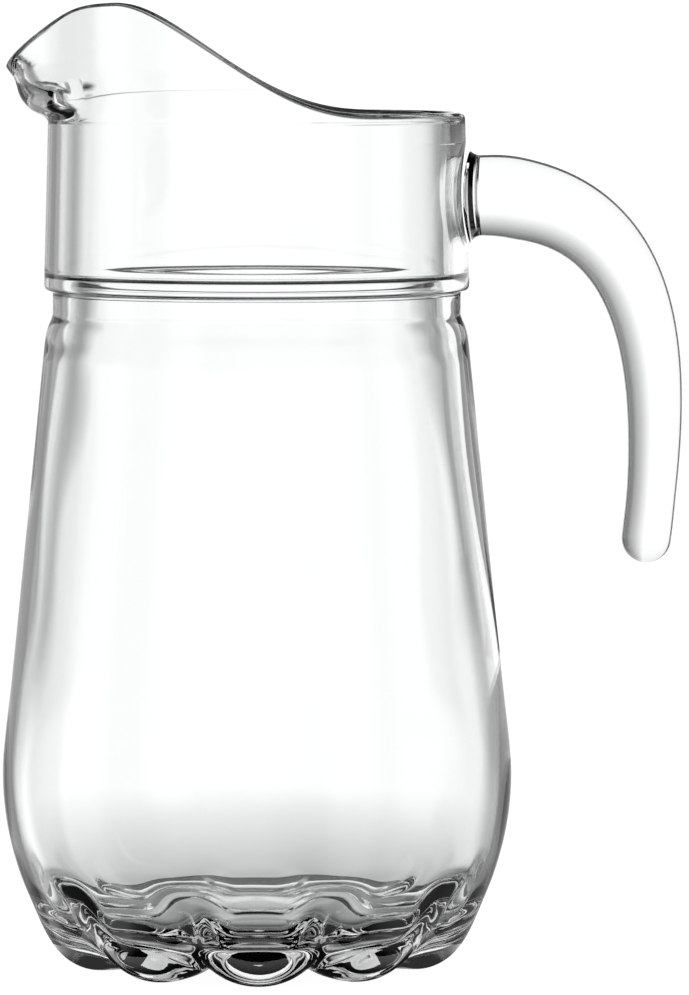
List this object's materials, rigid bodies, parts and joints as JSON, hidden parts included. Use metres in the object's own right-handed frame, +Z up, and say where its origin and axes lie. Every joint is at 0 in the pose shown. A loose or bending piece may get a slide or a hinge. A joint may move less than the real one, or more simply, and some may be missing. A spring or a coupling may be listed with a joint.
{
  "type": "glass pouring jug",
  "caption": "Large clear glass pouring jug with a scalloped base, tapering barrel, banded collar, hooded spout and an open handle.",
  "frame": {"origin": "on the jug's axis, at the height of the table the feet stand on", "axes": "+Z up along the jug's axis, +X from the axis towards the handle (the spout points along -X), +Y across the jug"},
  "size_m": [0.1732, 0.13, 0.2445],
  "materials": {
    "vessel_glass": "clear soda-lime glass, fire-polished",
    "handle_glass": "clear soda-lime glass, fire-polished"
  },
  "bodies": {
    "root": {"vessel": "vessel_glass", "handle": "handle_glass"}
  },
  "joints": []
}
